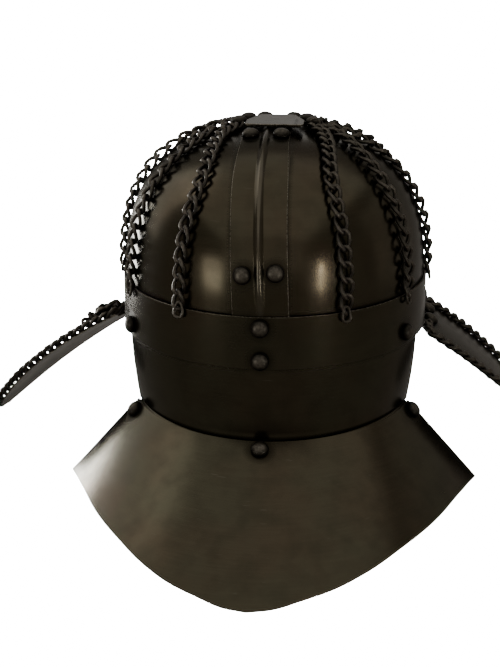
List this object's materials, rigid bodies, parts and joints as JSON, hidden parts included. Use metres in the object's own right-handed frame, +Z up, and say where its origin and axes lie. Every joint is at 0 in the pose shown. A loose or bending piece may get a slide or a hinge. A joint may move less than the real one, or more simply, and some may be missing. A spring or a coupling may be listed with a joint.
{
  "type": "spangenhelm helmet",
  "caption": "Riveted sheet steel helmet with ribbed straps, a brow band, a flared neck guard, hinged cheek guards and curb chains over the dome.",
  "frame": {"origin": "centre of the brow band's lower edge, where the helmet sits on a head", "axes": "+Z up, the face towards -Y, the wearer's left along +X"},
  "size_m": [0.4272, 0.3427, 0.2585],
  "materials": {
    "sheet_steel": "dark antiqued satin steel, brushed round the helmet, olive brown",
    "rivet_steel": "blackened steel with worn, brighter tops",
    "chain_steel": "blackened curb chain with worn, brighter outer faces"
  },
  "bodies": {
    "shell": {"dome_left": "sheet_steel", "dome_right": "sheet_steel", "strap_back": "sheet_steel", "strap_front": "sheet_steel", "crown_plate": "sheet_steel", "brow_band": "sheet_steel", "neck_wall": "sheet_steel", "neck_guard": "sheet_steel", "hinge_fixed_leaf_left": "sheet_steel", "hinge_fixed_leaf_right": "sheet_steel", "hinge_pin_left": "rivet_steel", "hinge_pin_right": "rivet_steel", "crown_rivet_left_1": "rivet_steel", "crown_rivet_left_2": "rivet_steel", "crown_rivet_right_1": "rivet_steel", "crown_rivet_right_2": "rivet_steel", "wall_rivet_left": "rivet_steel", "wall_rivet_right": "rivet_steel", "strap_rivet_back_1": "rivet_steel", "strap_rivet_back_2": "rivet_steel", "strap_rivet_back_3": "rivet_steel", "strap_rivet_back_4": "rivet_steel", "strap_rivet_front_1": "rivet_steel", "strap_rivet_front_2": "rivet_steel", "strap_rivet_front_3": "rivet_steel", "strap_rivet_front_4": "rivet_steel", "band_rivet_back_high": "rivet_steel", "band_rivet_front": "rivet_steel", "band_rivet_back_low": "rivet_steel", "guard_rivet_back": "rivet_steel", "guard_rivet_left": "rivet_steel", "guard_rivet_right": "rivet_steel", "hinge_rivet_left_1": "rivet_steel", "hinge_rivet_left_2": "rivet_steel", "hinge_rivet_right_1": "rivet_steel", "hinge_rivet_right_2": "rivet_steel", "dome_chain_left_1": "chain_steel", "dome_chain_left_2": "chain_steel", "dome_chain_left_3": "chain_steel", "dome_chain_left_4": "chain_steel", "dome_chain_left_5": "chain_steel", "dome_chain_right_1": "chain_steel", "dome_chain_right_2": "chain_steel", "dome_chain_right_3": "chain_steel", "dome_chain_right_4": "chain_steel", "dome_chain_right_5": "chain_steel"},
    "cheek_left": {"hinge_moving_leaf_left": "sheet_steel", "cheek_guard_left": "sheet_steel", "cheek_chain_left": "chain_steel", "cheek_rivet_left_1": "rivet_steel", "cheek_rivet_left_2": "rivet_steel"},
    "cheek_right": {"hinge_moving_leaf_right": "sheet_steel", "cheek_guard_right": "sheet_steel", "cheek_chain_right": "chain_steel", "cheek_rivet_right_1": "rivet_steel", "cheek_rivet_right_2": "rivet_steel"}
  },
  "joints": [
    {"name": "cheek_hinge_left", "type": "hinge", "parent": "shell", "child": "cheek_left", "pos_m": [0.09529, -0.04087, -0.0065], "axis": [-0.1935, -0.9683, -0.1582], "range_deg": [-61, 25]},
    {"name": "cheek_hinge_right", "type": "hinge", "parent": "shell", "child": "cheek_right", "pos_m": [-0.09529, -0.04087, -0.0065], "axis": [-0.0697, 0.997, -0.0332], "range_deg": [-57, 29]}
  ]
}
